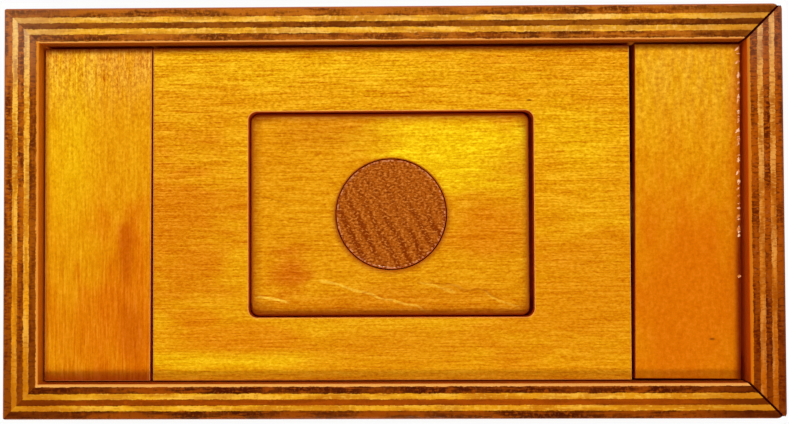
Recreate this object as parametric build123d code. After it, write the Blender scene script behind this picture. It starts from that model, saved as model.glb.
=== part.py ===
from build123d import *
import math
import os

# Wooden puzzle box. Millimetres, +Z up, X along the box, origin at the middle of its underside.
# A disc in the lid turns a cam plate whose spiral slot drives a keeper bar. With the keeper drawn
# back, the loose right-hand slat lifts out and bares a bolt, which runs across the box through a
# keep on the right end wall. With the bolt drawn back, that wall pulls out as the front of a
# drawer. The model stands unlocked, its drawer a hair ajar.

# ---- Driving dimensions -------------------------------------------------------------------------

# Shell
SHUT_LENGTH = 188.2        # outside length with the drawer shut
WIDTH = 100.0              # outside width
HEIGHT = 42.0              # outside height
WALL = 8.6                 # seven-ply board, nominal 9 mm
AJAR = 0.8                 # how far the drawer stands out
CORNER_RADIUS = 0.8        # sanded upright corners
DRAWER_CORNER_RADIUS = 1.8 # the same at the drawer's end, where hands have worn them
RIM_RADIUS = 0.7           # sanded rim edges
BASE_THICKNESS = 4.0
DECK_THICKNESS = 3.0
DECK_SEAT = 3.0            # depth of the deck's grooves in the walls

# Lid
LID_RECESS = 4.0           # rim above the lid boards
LID_THICKNESS = 5.0
LEFT_SLAT_WIDTH = 26.35    # along X
LOOSE_SLAT_WIDTH = 25.6
LID_FRONT_GAP = 0.35       # fixed lid boards to the front wall
LID_BACK_GAP = 0.75        # the same to the back wall
LEFT_SLAT_GAP = 0.5        # left slat to the left wall
LID_JOINT_GAP = 0.3        # left slat to the centre board
LOOSE_SLAT_GAP = 1.1       # play each side of the loose slat, for a fingernail
LOOSE_SLAT_PLAY = 1.1      # play along the loose slat
LOOSE_SLAT_SKEW = 0.45     # degrees that the loose slat lies turned, clockwise from above
LEFT_SLAT_TAPER = 0.4      # the left slat is this much narrower at the front
BOARD_EDGE_RADIUS = 0.3

# Rails under the lid
RAIL_WIDTH = 6.0
CROSS_RAIL_WIDTH = 10.0

# Window, plate and disc
WINDOW_LENGTH = 69.9       # centred along the centre board
WINDOW_WIDTH = 50.5
WINDOW_CORNER_RADIUS = 2.1
WINDOW_DROP = 0.45         # window centre from the box's centre line, towards the front
WINDOW_EDGE_RADIUS = 0.4
PLATE_THICKNESS = 2.6
PLATE_END_GAP = 0.6        # plate to window, at each end
PLATE_SIDE_GAP = 0.3       # plate to window, front and back
PLATE_SHIFT = 0.35         # how far the plate lies towards the left
PLATE_EDGE_RADIUS = 1.3
CARRIER_THICKNESS = 3.0
DISC_DIAMETER = 27.0
DISC_RISE = 0.7            # disc above the plate
DISC_EDGE_RADIUS = 0.7
DISC_RING_GAP = 0.3

# Spindle and spiral cam
SPINDLE_DIAMETER = 8.0
SPINDLE_SOCKET = 2.0       # depth of the spindle's blind hole in the disc
DISC_TURN = 90.0           # degrees from open to locked
SLOT_OVERTRAVEL = 3.0      # degrees of slot left past each end of the turn
CAM_THICKNESS = 3.0
CAM_EDGE = 2.8             # wood left outside the slot
SPIRAL_START = 11.0        # slot centre line's radius with the keeper drawn back
KEEPER_STROKE = 6.0        # keeper travel over the whole turn
FOLLOWER_DIAMETER = 4.0

# Keeper bar
KEEPER_WIDTH = 12.0
KEEPER_THICKNESS = 3.0
KEEPER_TAIL = 5.0          # bar left behind the follower pin's centre
KEEPER_NOSE_RADIUS = 2.0
GUIDE_LENGTH = 10.0
GUIDE_CHEEK = 6.0

# Lug under the loose slat
LUG_LENGTH = 8.4           # along X
LUG_WIDTH = 26.0
LUG_INSET = 0.85           # lug's face in from the slat's left edge

# Bolt, which slides across the box, and the keep on the end wall that it passes through
BOLT_WIDTH = 6.0           # along X
BOLT_LENGTH = 28.0         # along Y
BOLT_THICKNESS = 4.0
BOLT_STROKE = 18.0
BOLT_RAIL_GAP = 0.95       # bolt's front end to the front rail with the bolt drawn back
BOLT_TIP_GAP = 1.0         # and its tip to the keep
BOLT_TIP_CHAMFER = 0.8
PEG_DIAMETER = 3.0
PEG_SOCKET = 3.0
PEG_INSET = 4.0            # peg from the bolt's front end
PEG_HEADROOM = 1.5         # peg's top to the slat
BOLT_GUIDE_CHEEK = 2.2
BOLT_GUIDE_LIP = 1.2       # lip over the bolt's edge
BOLT_GUIDE_LIP_THICKNESS = 2.0
CATCH_LENGTH = 8.0         # block on the far side that the bolt's tip enters
CATCH_ENTRY = 5.0          # how far the tip goes into it
CATCH_CHEEK = 2.5
KEEP_WIDTH = 10.0          # along Y
KEEP_CHEEK = 3.0           # wood on the lug's side of the bolt
KEEP_ROOF = 3.3            # wood over the bolt
KEEP_SEAT = 3.0            # depth of its socket in the end wall
KEEP_LUG_GAP = 2.4

# Drawer
DRAWER_SIDE = 4.0
DRAWER_BOTTOM = 3.0
DRAWER_BOTTOM_LIFT = 1.2   # bottom panel above the sides' lower edges
DRAWER_GROOVE = 2.0        # depth of the grooves in the drawer's sides and rear
DRAWER_SIDE_SEAT = 3.0     # depth of the sides' sockets in the end wall
DRAWER_REAR_INSET = 3.0    # sides run on past the rear board
DRAWER_SIDE_GAP = 0.4

# Clearances
SLIDE_GAP = 0.3            # between sliding wooden faces
CAM_GAP = 0.4              # cam plate over the deck, drawer under it
BOLT_FLOOR_GAP = 0.1
RUNNING_GAP = 0.08         # spindle in its bearings, radial
GLUE_GAP = 0.04            # dowels in their sockets, radial
SLOT_GAP = 0.2             # follower pin to the sides of the spiral slot
SHUT_GAP = 0.3             # fixed pieces to the end wall when it is shut

# ---- Levels and lines worked out from them ------------------------------------------------------

x_left = -(SHUT_LENGTH + AJAR) / 2
x_shut = x_left + SHUT_LENGTH          # end wall's outer face when shut
x_middle = (x_left + x_shut) / 2
x_inner_left = x_left + WALL
x_inner_right = x_shut - WALL          # end wall's inner face when shut
x_inner_open = x_inner_right + AJAR    # the same face as it stands
x_fixed_end = x_inner_right - SHUT_GAP
y_inner = WIDTH / 2 - WALL
y_rail = y_inner - RAIL_WIDTH

z_lid_top = HEIGHT - LID_RECESS
z_lid = z_lid_top - LID_THICKNESS
z_carrier = z_lid - CARRIER_THICKNESS
z_keeper = z_carrier - SLIDE_GAP - KEEPER_THICKNESS
z_cam = z_keeper - SLIDE_GAP - CAM_THICKNESS
z_deck_top = z_cam - CAM_GAP
z_deck = z_deck_top - DECK_THICKNESS
z_drawer_top = z_deck - CAM_GAP
z_drawer = BASE_THICKNESS + SLIDE_GAP
z_plate_top = z_lid + PLATE_THICKNESS

slat_length = 2 * y_inner - LOOSE_SLAT_PLAY
y_board = -y_inner + LID_FRONT_GAP     # front ends of the fixed lid boards
y_board_back = y_inner - LID_BACK_GAP
x_left_slat = x_inner_left + LEFT_SLAT_GAP
x_centre_board = x_left_slat + LEFT_SLAT_WIDTH + LID_JOINT_GAP
x_right_slat = x_inner_open - LOOSE_SLAT_GAP - LOOSE_SLAT_WIDTH
x_centre_board_end = x_right_slat - LOOSE_SLAT_GAP

x_window = (x_centre_board + x_centre_board_end) / 2
x_disc = x_window
y_line = -WINDOW_DROP                  # the lock's own centre line
plate_length = WINDOW_LENGTH - 2 * PLATE_END_GAP
plate_width = WINDOW_WIDTH - 2 * PLATE_SIDE_GAP
x_plate = x_window - PLATE_SHIFT
disc_radius = DISC_DIAMETER / 2
z_disc = z_lid + CAM_GAP / 4
z_disc_top = z_plate_top + DISC_RISE

spindle_radius = SPINDLE_DIAMETER / 2
follower_radius = FOLLOWER_DIAMETER / 2
slot_half_width = follower_radius + SLOT_GAP
cam_radius = SPIRAL_START + KEEPER_STROKE + slot_half_width + CAM_EDGE

x_left_cross_rail = x_centre_board - LID_JOINT_GAP / 2 - CROSS_RAIL_WIDTH / 2
x_right_cross_rail = x_centre_board_end - CROSS_RAIL_WIDTH
x_carrier = x_left_cross_rail + CROSS_RAIL_WIDTH

x_follower = x_disc + SPIRAL_START
x_lug = x_right_slat + LUG_INSET
x_keeper_tip = x_lug - 2 * SLIDE_GAP
x_guide = (x_disc + cam_radius + x_right_cross_rail - GUIDE_LENGTH) / 2

x_keep = x_lug + LUG_LENGTH + KEEP_LUG_GAP
x_bolt = x_keep + KEEP_CHEEK + SLIDE_GAP           # bolt's left edge
x_bolt_middle = x_bolt + BOLT_WIDTH / 2
x_bolt_right = x_bolt + BOLT_WIDTH
y_bolt = -y_rail + BOLT_RAIL_GAP                   # bolt's front end
y_bolt_tip = y_bolt + BOLT_LENGTH
y_peg = y_bolt + PEG_INSET
y_keep = y_bolt_tip + BOLT_TIP_GAP                 # keep's front face
y_keep_back = y_keep + KEEP_WIDTH
y_catch = y_bolt_tip + BOLT_STROKE - CATCH_ENTRY
z_bolt = z_deck_top + BOLT_FLOOR_GAP
z_bolt_top = z_bolt + BOLT_THICKNESS

y_drawer = y_inner - DRAWER_SIDE_GAP
y_tray = y_drawer - DRAWER_SIDE
x_drawer_rear = x_inner_left + AJAR + SHUT_GAP
x_rear_board = x_drawer_rear + DRAWER_REAR_INSET
x_tray = x_rear_board + DRAWER_SIDE
z_tray_panel = z_drawer + DRAWER_BOTTOM_LIFT


# ---- Helpers ------------------------------------------------------------------------------------

def block(x, y, z):
    """A box between the two ends of each of the ranges x, y and z."""
    size = [high - low for low, high in (x, y, z)]
    corner = Pos(x[0], y[0], z[0])
    return corner * Box(*size, align=(Align.MIN, Align.MIN, Align.MIN))


def both_sides(half_width, middle=0.0):
    """The range that reaches half_width each way from the middle."""
    return (middle - half_width, middle + half_width)


def post(x, radius, z):
    """An upright round post or hole on the lock's centre line."""
    standing = (Align.CENTER, Align.CENTER, Align.MIN)
    return Pos(x, y_line, z[0]) * Cylinder(radius, z[1] - z[0], align=standing)


def ease_top(shape, radius):
    """Round every edge of the top face."""
    return fillet(shape.faces().sort_by(Axis.Z)[-1].edges(), radius)


# ---- Shell --------------------------------------------------------------------------------------

def wall_section(fixed):
    """Cross-section of a wall: outer face at 0, inner face at WALL, standing on 0."""
    foot = 0 if fixed else SLIDE_GAP
    board = Polygon((0, foot), (WALL, foot), (WALL, HEIGHT), (0, HEIGHT), align=None)
    section = fillet(board.vertices().group_by(Axis.Y)[-1], RIM_RADIUS)
    if fixed:
        rebate = Rectangle(WALL / 2, BASE_THICKNESS, align=(Align.MAX, Align.MIN))
        groove = Rectangle(DECK_SEAT, DECK_THICKNESS, align=(Align.MAX, Align.MIN))
        section = section - Pos(WALL, 0) * rebate - Pos(WALL, z_deck) * groove
    return section


def mitred_wall(length, fixed):
    """A wall along X, outer face on Y = 0 and inner face towards +Y, mitred at both ends."""
    half = length / 2
    bar = extrude(Plane.YZ * wall_section(fixed), half, both=True)
    plan = Polygon((-half, 0), (half, 0), (half - WALL, WALL), (WALL - half, WALL), align=None)
    return bar & extrude(plan, HEIGHT)


def shell_outline():
    """The whole box outside when shut, with its rounded upright corners."""
    outline = Rectangle(SHUT_LENGTH, WIDTH)
    outline = fillet(outline.vertices().group_by(Axis.X)[0], CORNER_RADIUS)
    outline = fillet(outline.vertices().group_by(Axis.X)[-1], DRAWER_CORNER_RADIUS)
    return Pos(x_middle, 0, 0) * extrude(outline, HEIGHT)


def front_wall():
    return Pos(x_middle, -WIDTH / 2, 0) * mitred_wall(SHUT_LENGTH, True) & shell_outline()


def back_wall():
    wall = Rot(0, 0, 180) * mitred_wall(SHUT_LENGTH, True)
    return Pos(x_middle, WIDTH / 2, 0) * wall & shell_outline()


def left_wall():
    return Pos(x_left, 0, 0) * Rot(0, 0, -90) * mitred_wall(WIDTH, True) & shell_outline()


def base_panel():
    reach = WALL / 2
    return block((x_inner_left - reach, x_fixed_end), both_sides(y_inner + reach), (0, BASE_THICKNESS))


def deck():
    x = (x_inner_left - DECK_SEAT, x_fixed_end)
    panel = block(x, both_sides(y_inner + DECK_SEAT), (z_deck, z_deck_top))
    return panel - post(x_disc, spindle_radius + RUNNING_GAP, (z_deck, z_deck_top))


# ---- Rails and lid ------------------------------------------------------------------------------

def long_rail(side):
    y = sorted((side * y_rail, side * y_inner))
    return block((x_inner_left, x_fixed_end), y, (z_deck_top, z_lid))


def left_end_rail():
    return block((x_inner_left, x_inner_left + RAIL_WIDTH), both_sides(y_rail), (z_deck_top, z_lid))


def cross_rail(x):
    return block((x, x + CROSS_RAIL_WIDTH), both_sides(y_rail), (z_deck_top, z_lid))


def keeper_way(x, gap):
    """The space that the keeper bar slides through, over the length x, with a gap all round."""
    z = (z_keeper - gap, z_keeper + KEEPER_THICKNESS + gap)
    return block(x, both_sides(KEEPER_WIDTH / 2 + gap, y_line), z)


def right_cross_rail():
    x = (x_right_cross_rail, x_centre_board_end)
    return cross_rail(x_right_cross_rail) - keeper_way(x, SLIDE_GAP)


def left_slat():
    x_end = x_left_slat + LEFT_SLAT_WIDTH
    front = [(x_left_slat, y_board), (x_end - LEFT_SLAT_TAPER, y_board)]
    back = [(x_end, y_board_back), (x_left_slat, y_board_back)]
    plan = Polygon(*front, *back, align=None)
    return ease_top(Pos(0, 0, z_lid) * extrude(plan, LID_THICKNESS), BOARD_EDGE_RADIUS)


def askew(shape):
    """Turn a piece of the loose slat about the slat's middle, as it lies in its opening."""
    middle = Pos(x_right_slat + LOOSE_SLAT_WIDTH / 2, 0, 0)
    return middle * Rot(0, 0, -LOOSE_SLAT_SKEW) * middle.inverse() * shape


def right_slat():
    x = (x_right_slat, x_right_slat + LOOSE_SLAT_WIDTH)
    slat = block(x, both_sides(slat_length / 2), (z_lid, z_lid_top))
    return askew(ease_top(slat, BOARD_EDGE_RADIUS))


def centre_board():
    board = block((x_centre_board, x_centre_board_end), (y_board, y_board_back), (z_lid, z_lid_top))
    board = ease_top(board, BOARD_EDGE_RADIUS)
    window = RectangleRounded(WINDOW_LENGTH, WINDOW_WIDTH, WINDOW_CORNER_RADIUS)
    board -= Pos(x_window, y_line, z_lid) * extrude(window, LID_THICKNESS)
    mouth = board.faces().sort_by(Axis.Z)[-1].inner_wires()[0]
    return fillet(mouth.edges(), WINDOW_EDGE_RADIUS)


def plate_carrier():
    board = block((x_carrier, x_right_cross_rail), both_sides(y_rail), (z_carrier, z_lid))
    return board - post(x_disc, spindle_radius + RUNNING_GAP, (z_carrier, z_lid))


def window_plate():
    corner = WINDOW_CORNER_RADIUS - PLATE_SIDE_GAP / 2
    outline = extrude(RectangleRounded(plate_length, plate_width, corner), PLATE_THICKNESS)
    plate = ease_top(Pos(x_plate, y_line, z_lid) * outline, PLATE_EDGE_RADIUS)
    plate -= post(x_disc, disc_radius + DISC_RING_GAP, (z_lid, z_plate_top))
    mouth = plate.faces().sort_by(Axis.Z)[-1].inner_wires()[0]
    return chamfer(mouth.edges(), DISC_RING_GAP)


# ---- Disc, spindle and spiral cam ---------------------------------------------------------------

def disc():
    wood = ease_top(post(x_disc, disc_radius, (z_disc, z_disc_top)), DISC_EDGE_RADIUS)
    return wood - post(x_disc, spindle_radius + GLUE_GAP, (z_disc, z_disc + SPINDLE_SOCKET))


def spindle():
    return post(x_disc, spindle_radius, (z_deck, z_disc + SPINDLE_SOCKET))


def slot_point(turn, shift):
    """A point beside the slot's centre line, where the follower is after so many degrees of turn.

    The centre line gains radius evenly with turn. shift is measured square to it, outwards."""
    rate = KEEPER_STROKE / math.radians(DISC_TURN)
    angle = -math.radians(turn)
    radius = SPIRAL_START + KEEPER_STROKE * turn / DISC_TURN
    tilt = math.atan2(rate, radius)
    x = radius * math.cos(angle) + shift * math.cos(angle + tilt)
    y = radius * math.sin(angle) + shift * math.sin(angle + tilt)
    return (x, y)


def spiral_slot():
    """Outline of the cam's slot, its two long sides offset from the centre line, its ends round."""
    steps = 12
    span = DISC_TURN + 2 * SLOT_OVERTRAVEL
    turns = [span * step / steps - SLOT_OVERTRAVEL for step in range(steps + 1)]
    sides = {}
    for name, shift in (("outer", slot_half_width), ("inner", -slot_half_width)):
        sides[name] = Spline(*[slot_point(turn, shift) for turn in turns])
    channel = make_face([
        sides["outer"],
        Line(sides["outer"] @ 1, sides["inner"] @ 1),
        sides["inner"],
        Line(sides["inner"] @ 0, sides["outer"] @ 0),
    ])
    ends = [Pos(*slot_point(turn, 0)) * Circle(slot_half_width) for turn in (turns[0], turns[-1])]
    return channel + ends[0] + ends[1]


def cam_plate():
    sheet = Circle(cam_radius) - Circle(spindle_radius + GLUE_GAP) - spiral_slot()
    return Pos(x_disc, y_line, z_cam) * extrude(sheet, CAM_THICKNESS)


# ---- Keeper bar ---------------------------------------------------------------------------------

def keeper_bar():
    bar = keeper_way((x_follower - KEEPER_TAIL, x_keeper_tip), 0)
    nose = bar.edges().filter_by(Axis.Z).group_by(Axis.X)[-1]
    bar = fillet(nose, KEEPER_NOSE_RADIUS)
    return bar - post(x_follower, follower_radius + GLUE_GAP, (z_keeper, z_keeper + KEEPER_THICKNESS))


def keeper_pin():
    return post(x_follower, follower_radius, (z_cam + SLIDE_GAP, z_keeper + KEEPER_THICKNESS))


def keeper_guide():
    x = (x_guide, x_guide + GUIDE_LENGTH)
    z_top = z_carrier
    cheeks = block(x, both_sides(KEEPER_WIDTH / 2 + GUIDE_CHEEK, y_line), (z_deck_top, z_top))
    channel = both_sides(KEEPER_WIDTH / 2 + SLIDE_GAP, y_line)
    return cheeks - block(x, channel, (z_keeper - SLIDE_GAP, z_top))


def slat_lug():
    x = (x_lug, x_lug + LUG_LENGTH)
    lug = block(x, both_sides(LUG_WIDTH / 2, y_line), (z_deck_top + CAM_GAP, z_lid))
    return askew(lug - keeper_way(x, SLIDE_GAP))


# ---- Bolt ---------------------------------------------------------------------------------------

def bolt_way(y, gap, foot=None):
    """The space that the bolt slides through over the length y, with a gap at its sides and top."""
    x = (x_bolt - gap, x_bolt_right + gap)
    return block(x, y, (z_bolt if foot is None else foot, z_bolt_top + gap))


def lock_bolt():
    bar = bolt_way((y_bolt, y_bolt_tip), 0)
    tip = bar.faces().sort_by(Axis.Y)[-1]
    bar = chamfer(tip.edges(), BOLT_TIP_CHAMFER)
    return bar - Pos(x_bolt_middle, y_peg, z_bolt_top - PEG_SOCKET) * peg_shape(PEG_SOCKET, GLUE_GAP)


def peg_shape(height, gap):
    """A round peg standing on the origin, or with a gap all round the hole for it."""
    return Cylinder(PEG_DIAMETER / 2 + gap, height, align=(Align.CENTER, Align.CENTER, Align.MIN))


def bolt_peg():
    z_foot = z_bolt_top - PEG_SOCKET
    peg = Pos(x_bolt_middle, y_peg, z_foot) * peg_shape(z_lid - PEG_HEADROOM - z_foot, 0)
    return chamfer(peg.faces().sort_by(Axis.Z)[-1].edges(), PEG_DIAMETER / 8)


def bolt_guide(x_edge, side):
    """An L-shaped strip on the deck along one edge of the bolt, whose lip holds it down."""
    y = (y_bolt, y_bolt_tip - BOLT_TIP_GAP)
    z_lip = z_bolt_top + SLIDE_GAP
    z_top = z_lip + BOLT_GUIDE_LIP_THICKNESS
    x_face = x_edge + side * SLIDE_GAP
    x_cheek = sorted((x_face, x_face + side * BOLT_GUIDE_CHEEK))
    x_lip = sorted((x_face, x_edge - side * BOLT_GUIDE_LIP))
    return block(x_cheek, y, (z_deck_top, z_top)) + block(x_lip, y, (z_lip, z_top))


def bolt_catch():
    y = (y_catch, y_catch + CATCH_LENGTH)
    x = (x_bolt - SLIDE_GAP - CATCH_CHEEK, x_bolt_right + SLIDE_GAP + CATCH_CHEEK)
    z_top = z_bolt_top + SLIDE_GAP + BOLT_GUIDE_LIP_THICKNESS
    return block(x, y, (z_deck_top, z_top)) - bolt_way(y, SLIDE_GAP, z_deck_top)


def keep_blank():
    """The keep before its notch is cut, from its free end to the bottom of its socket."""
    x = (x_keep, x_inner_open + KEEP_SEAT)
    z = (z_deck_top + CAM_GAP, z_bolt_top + SLIDE_GAP + KEEP_ROOF)
    return block(x, (y_keep, y_keep_back), z)


def drawer_keep():
    """The keep, notched from below with room for the drawer to stand ajar on the bolt."""
    x_notch = (x_bolt - SLIDE_GAP, x_bolt_right + SLIDE_GAP + AJAR)
    notch = block(x_notch, (y_keep, y_keep_back), (z_deck_top, z_bolt_top + SLIDE_GAP))
    return keep_blank() - notch


# ---- Drawer -------------------------------------------------------------------------------------

def tray_panel(x, reach):
    """The drawer's bottom panel over the length x, reaching so far into the sides."""
    return block(x, both_sides(y_tray + reach), (z_tray_panel, z_tray_panel + DRAWER_BOTTOM))


def drawer_side(side):
    x = (x_drawer_rear, x_inner_open + DRAWER_SIDE_SEAT)
    y = sorted((side * y_tray, side * y_drawer))
    board = block(x, y, (z_drawer, z_drawer_top))
    housing = block((x_rear_board, x_tray), both_sides(y_tray + DRAWER_GROOVE), (z_drawer, z_drawer_top))
    return board - housing - tray_panel(x, DRAWER_GROOVE)


def drawer_rear():
    board = block((x_rear_board, x_tray), both_sides(y_tray + DRAWER_GROOVE), (z_drawer, z_drawer_top))
    return board - tray_panel((x_tray - DRAWER_GROOVE, x_tray), DRAWER_GROOVE)


def drawer_bottom():
    return tray_panel((x_tray - DRAWER_GROOVE, x_inner_open + DRAWER_GROOVE), DRAWER_GROOVE)


def end_wall():
    wall = mitred_wall(WIDTH, False)
    wall = Pos(x_shut, 0, 0) * Rot(0, 0, 90) * wall & shell_outline()
    wall = Pos(AJAR, 0, 0) * wall
    for side in (-1, 1):
        y = sorted((side * y_tray, side * y_drawer))
        wall -= block((x_inner_open, x_inner_open + DRAWER_SIDE_SEAT), y, (z_drawer, z_drawer_top))
    wall -= tray_panel((x_inner_open, x_inner_open + DRAWER_GROOVE), 0)
    return wall - keep_blank()


# ---- Export -------------------------------------------------------------------------------------

NODES = {
    "front_wall": front_wall(),
    "back_wall": back_wall(),
    "left_wall": left_wall(),
    "base_panel": base_panel(),
    "deck": deck(),
    "front_rail": long_rail(-1),
    "back_rail": long_rail(1),
    "left_end_rail": left_end_rail(),
    "left_cross_rail": cross_rail(x_left_cross_rail),
    "right_cross_rail": right_cross_rail(),
    "left_slat": left_slat(),
    "centre_board": centre_board(),
    "plate_carrier": plate_carrier(),
    "window_plate": window_plate(),
    "disc": disc(),
    "spindle": spindle(),
    "cam_plate": cam_plate(),
    "keeper_bar": keeper_bar(),
    "keeper_pin": keeper_pin(),
    "keeper_guide": keeper_guide(),
    "right_slat": right_slat(),
    "slat_lug": slat_lug(),
    "lock_bolt": lock_bolt(),
    "bolt_peg": bolt_peg(),
    "bolt_guide_left": bolt_guide(x_bolt, -1),
    "bolt_guide_right": bolt_guide(x_bolt_right, 1),
    "bolt_catch": bolt_catch(),
    "drawer_keep": drawer_keep(),
    "end_wall": end_wall(),
    "drawer_front_side": drawer_side(-1),
    "drawer_back_side": drawer_side(1),
    "drawer_rear": drawer_rear(),
    "drawer_bottom": drawer_bottom(),
}

os.makedirs("parts", exist_ok=True)
for name, shape in NODES.items():
    shape.label = name
    export_step(shape, f"parts/{name}.step")
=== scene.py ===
# %% [markdown]
# # Dressing a wooden puzzle box
#
# The box is made of seven-ply board with mitred corners, varnished a glossy golden orange. Its lid
# is three thin boards, the middle one with a window where a paler plate holds a dark turning disc.
# The solid pieces come from the frame, already true to size. This lesson gives each of them the
# wood it is made of, adds the small rough places that a plain solid can't have, and lights it.

# %% Load the pieces
import math
import random
import bpy
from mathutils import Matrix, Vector


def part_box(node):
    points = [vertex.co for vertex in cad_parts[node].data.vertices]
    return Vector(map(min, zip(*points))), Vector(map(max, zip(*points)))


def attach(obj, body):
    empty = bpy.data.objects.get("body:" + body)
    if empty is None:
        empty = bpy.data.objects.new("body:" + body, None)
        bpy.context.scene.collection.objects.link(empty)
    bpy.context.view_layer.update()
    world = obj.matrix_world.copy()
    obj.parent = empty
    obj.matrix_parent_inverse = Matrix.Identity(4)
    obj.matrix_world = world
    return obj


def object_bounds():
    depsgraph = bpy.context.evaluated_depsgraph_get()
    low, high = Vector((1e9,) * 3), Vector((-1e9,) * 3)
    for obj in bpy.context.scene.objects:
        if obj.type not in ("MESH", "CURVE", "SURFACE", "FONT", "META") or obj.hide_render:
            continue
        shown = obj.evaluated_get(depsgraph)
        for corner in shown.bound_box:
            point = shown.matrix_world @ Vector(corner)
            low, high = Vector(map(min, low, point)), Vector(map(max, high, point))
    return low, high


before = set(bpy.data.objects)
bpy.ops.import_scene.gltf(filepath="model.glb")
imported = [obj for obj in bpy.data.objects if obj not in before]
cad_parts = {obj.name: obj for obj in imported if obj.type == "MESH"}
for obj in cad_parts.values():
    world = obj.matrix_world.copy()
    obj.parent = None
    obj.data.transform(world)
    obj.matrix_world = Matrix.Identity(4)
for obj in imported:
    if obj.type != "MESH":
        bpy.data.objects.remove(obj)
cad_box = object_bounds()

# %% [markdown]
# ## Working in millimetres
#
# Blender works in metres, but a maker thinks of wood in millimetres: a fibre is a few tenths wide,
# a ply about one and a half thick. Each material therefore starts from the object's own
# coordinates times a thousand, so that every pattern size below is a real length. The patterns
# are solid, running through the piece, so that they meet at the edges as real grain does and
# travel with a piece when it moves.

# %% Colours, nodes and new things
MM = 0.001


def colour(code):
    """An sRGB hex colour as linear red, green, blue and alpha."""
    channels = [int(code[start:start + 2], 16) / 255 for start in (1, 3, 5)]
    linear = [c / 12.92 if c <= 0.04045 else ((c + 0.055) / 1.055) ** 2.4 for c in channels]
    return (*linear, 1.0)


def add(tree, kind, links=None, **settings):
    """Add a node. Settings are its own choices, links its inputs: a value or another's output."""
    made = tree.nodes.new(kind)
    for name, value in settings.items():
        setattr(made, name, value)
    for socket, value in (links or {}).items():
        if isinstance(value, bpy.types.NodeSocket):
            tree.links.new(value, made.inputs[socket])
        else:
            made.inputs[socket].default_value = value
    return made


def new_material(name):
    """An empty material, with its node tree and its coordinates in millimetres."""
    made = bpy.data.materials.new(name)
    made.use_nodes = True
    tree = made.node_tree
    tree.nodes.clear()
    place = add(tree, "ShaderNodeTexCoord").outputs["Object"]
    mm = add(tree, "ShaderNodeVectorMath", {0: place, "Scale": 1 / MM}, operation="SCALE")
    return tree, mm.outputs["Vector"]


def cover(nodes, name):
    """Give these solid pieces the material of that name."""
    for node in nodes:
        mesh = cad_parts[node].data
        mesh.materials.clear()
        mesh.materials.append(bpy.data.materials[name])


def set_out(name, data):
    """Put a mesh, a lamp or a camera into the scene as an object of that name."""
    made = bpy.data.objects.new(name, data)
    bpy.context.scene.collection.objects.link(made)
    return made


def sheet(name, points, faces, material):
    """A mesh object from points in millimetres, covered with the material of that name."""
    mesh = bpy.data.meshes.new(name)
    mesh.from_pydata([Vector(point) * MM for point in points], [], faces)
    mesh.update()
    mesh.materials.append(bpy.data.materials[material])
    return set_out(name, mesh)


LOW, HIGH = (corner / MM for corner in cad_box)
print("the box spans", [round(size, 1) for size in HIGH - LOW], "mm")

# %% [markdown]
# ## Grain and stain
#
# Wood colour is built up the way a finisher builds it: a ground colour, then coats that each cover
# only part of it. What decides the part is a pattern in the wood. Nearly all patterns here are
# cloudy noise stretched along the grain, so one function makes them, with the distance between
# its clouds given in millimetres along and across the grain. Another turns a pattern into the
# share of a coat, and the last one lays the coats.

# %% Patterns in the wood


def grain(tree, mm, axis, across, along, seed, detail=2.0, rough=0.55):
    """Cloudy noise from 0 to 1, its clouds that far apart along the axis and across it."""
    spacing = [1.0 / (along if name == axis else across) for name in "XYZ"]
    fitted = add(tree, "ShaderNodeVectorMath", {0: mm, 1: spacing}, operation="MULTIPLY")
    moved = add(tree, "ShaderNodeVectorMath", {0: fitted.outputs[0], 1: (seed, seed * 1.7, seed * 2.3)})
    settings = {"Vector": moved.outputs[0], "Scale": 1.0, "Detail": detail, "Roughness": rough}
    return add(tree, "ShaderNodeTexNoise", settings).outputs["Fac"]


def share(tree, value, none, full, most=1.0, least=0.0):
    """How much of a coat shows: least where the value is none, most where it is full."""
    ends = {"Value": value, "From Min": none, "From Max": full, "To Min": least, "To Max": most}
    return add(tree, "ShaderNodeMapRange", ends, interpolation_type="SMOOTHSTEP").outputs["Result"]


def both(tree, first, second):
    """The product of two shares: a coat that both of them have to let through."""
    return add(tree, "ShaderNodeMath", {0: first, 1: second}, operation="MULTIPLY").outputs[0]


def beside(tree, place, line):
    """How far a place lies from the line, in millimetres to either side of it."""
    gap = add(tree, "ShaderNodeMath", {0: place, 1: line}, operation="SUBTRACT").outputs[0]
    return add(tree, "ShaderNodeMath", {0: gap}, operation="ABSOLUTE").outputs[0]


def facing(tree):
    """The way a surface faces. Its Z is one on a level face and nought on an upright one."""
    way = add(tree, "ShaderNodeTexCoord").outputs["Normal"]
    return add(tree, "ShaderNodeSeparateXYZ", {0: way}).outputs


def coats(tree, ground, layers):
    """The ground colour with each (share, colour) of the layers over it in turn."""
    for part, over in layers:
        over = colour(over) if isinstance(over, str) else over
        ground = colour(ground) if isinstance(ground, str) else ground
        ground = add(tree, "ShaderNodeMix", {0: part, 6: ground, 7: over}, data_type="RGBA").outputs[2]
    return ground


# %% [markdown]
# ## One varnish for every outside piece
#
# The whole outside is brushed with a gloss varnish. It is a clear skin over the wood: what colour
# it shows comes from the stained wood below, and what it adds is a reflection of the lamps. The
# wood's fibres still stand up under the skin by a few hundredths of a millimetre, so the
# reflection breaks into fine glints instead of one clean streak. Handling has rubbed it duller
# in patches a few centimetres wide, which only the roughness shows. The reflection is kept well
# below that of glass and tinted amber, because old varnish yellows and its skin is rubbed thin.

# %% Gloss varnish
VARNISH_IOR = 1.45
AMBER = "#FFC466"
SKIN = 0.06


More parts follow.
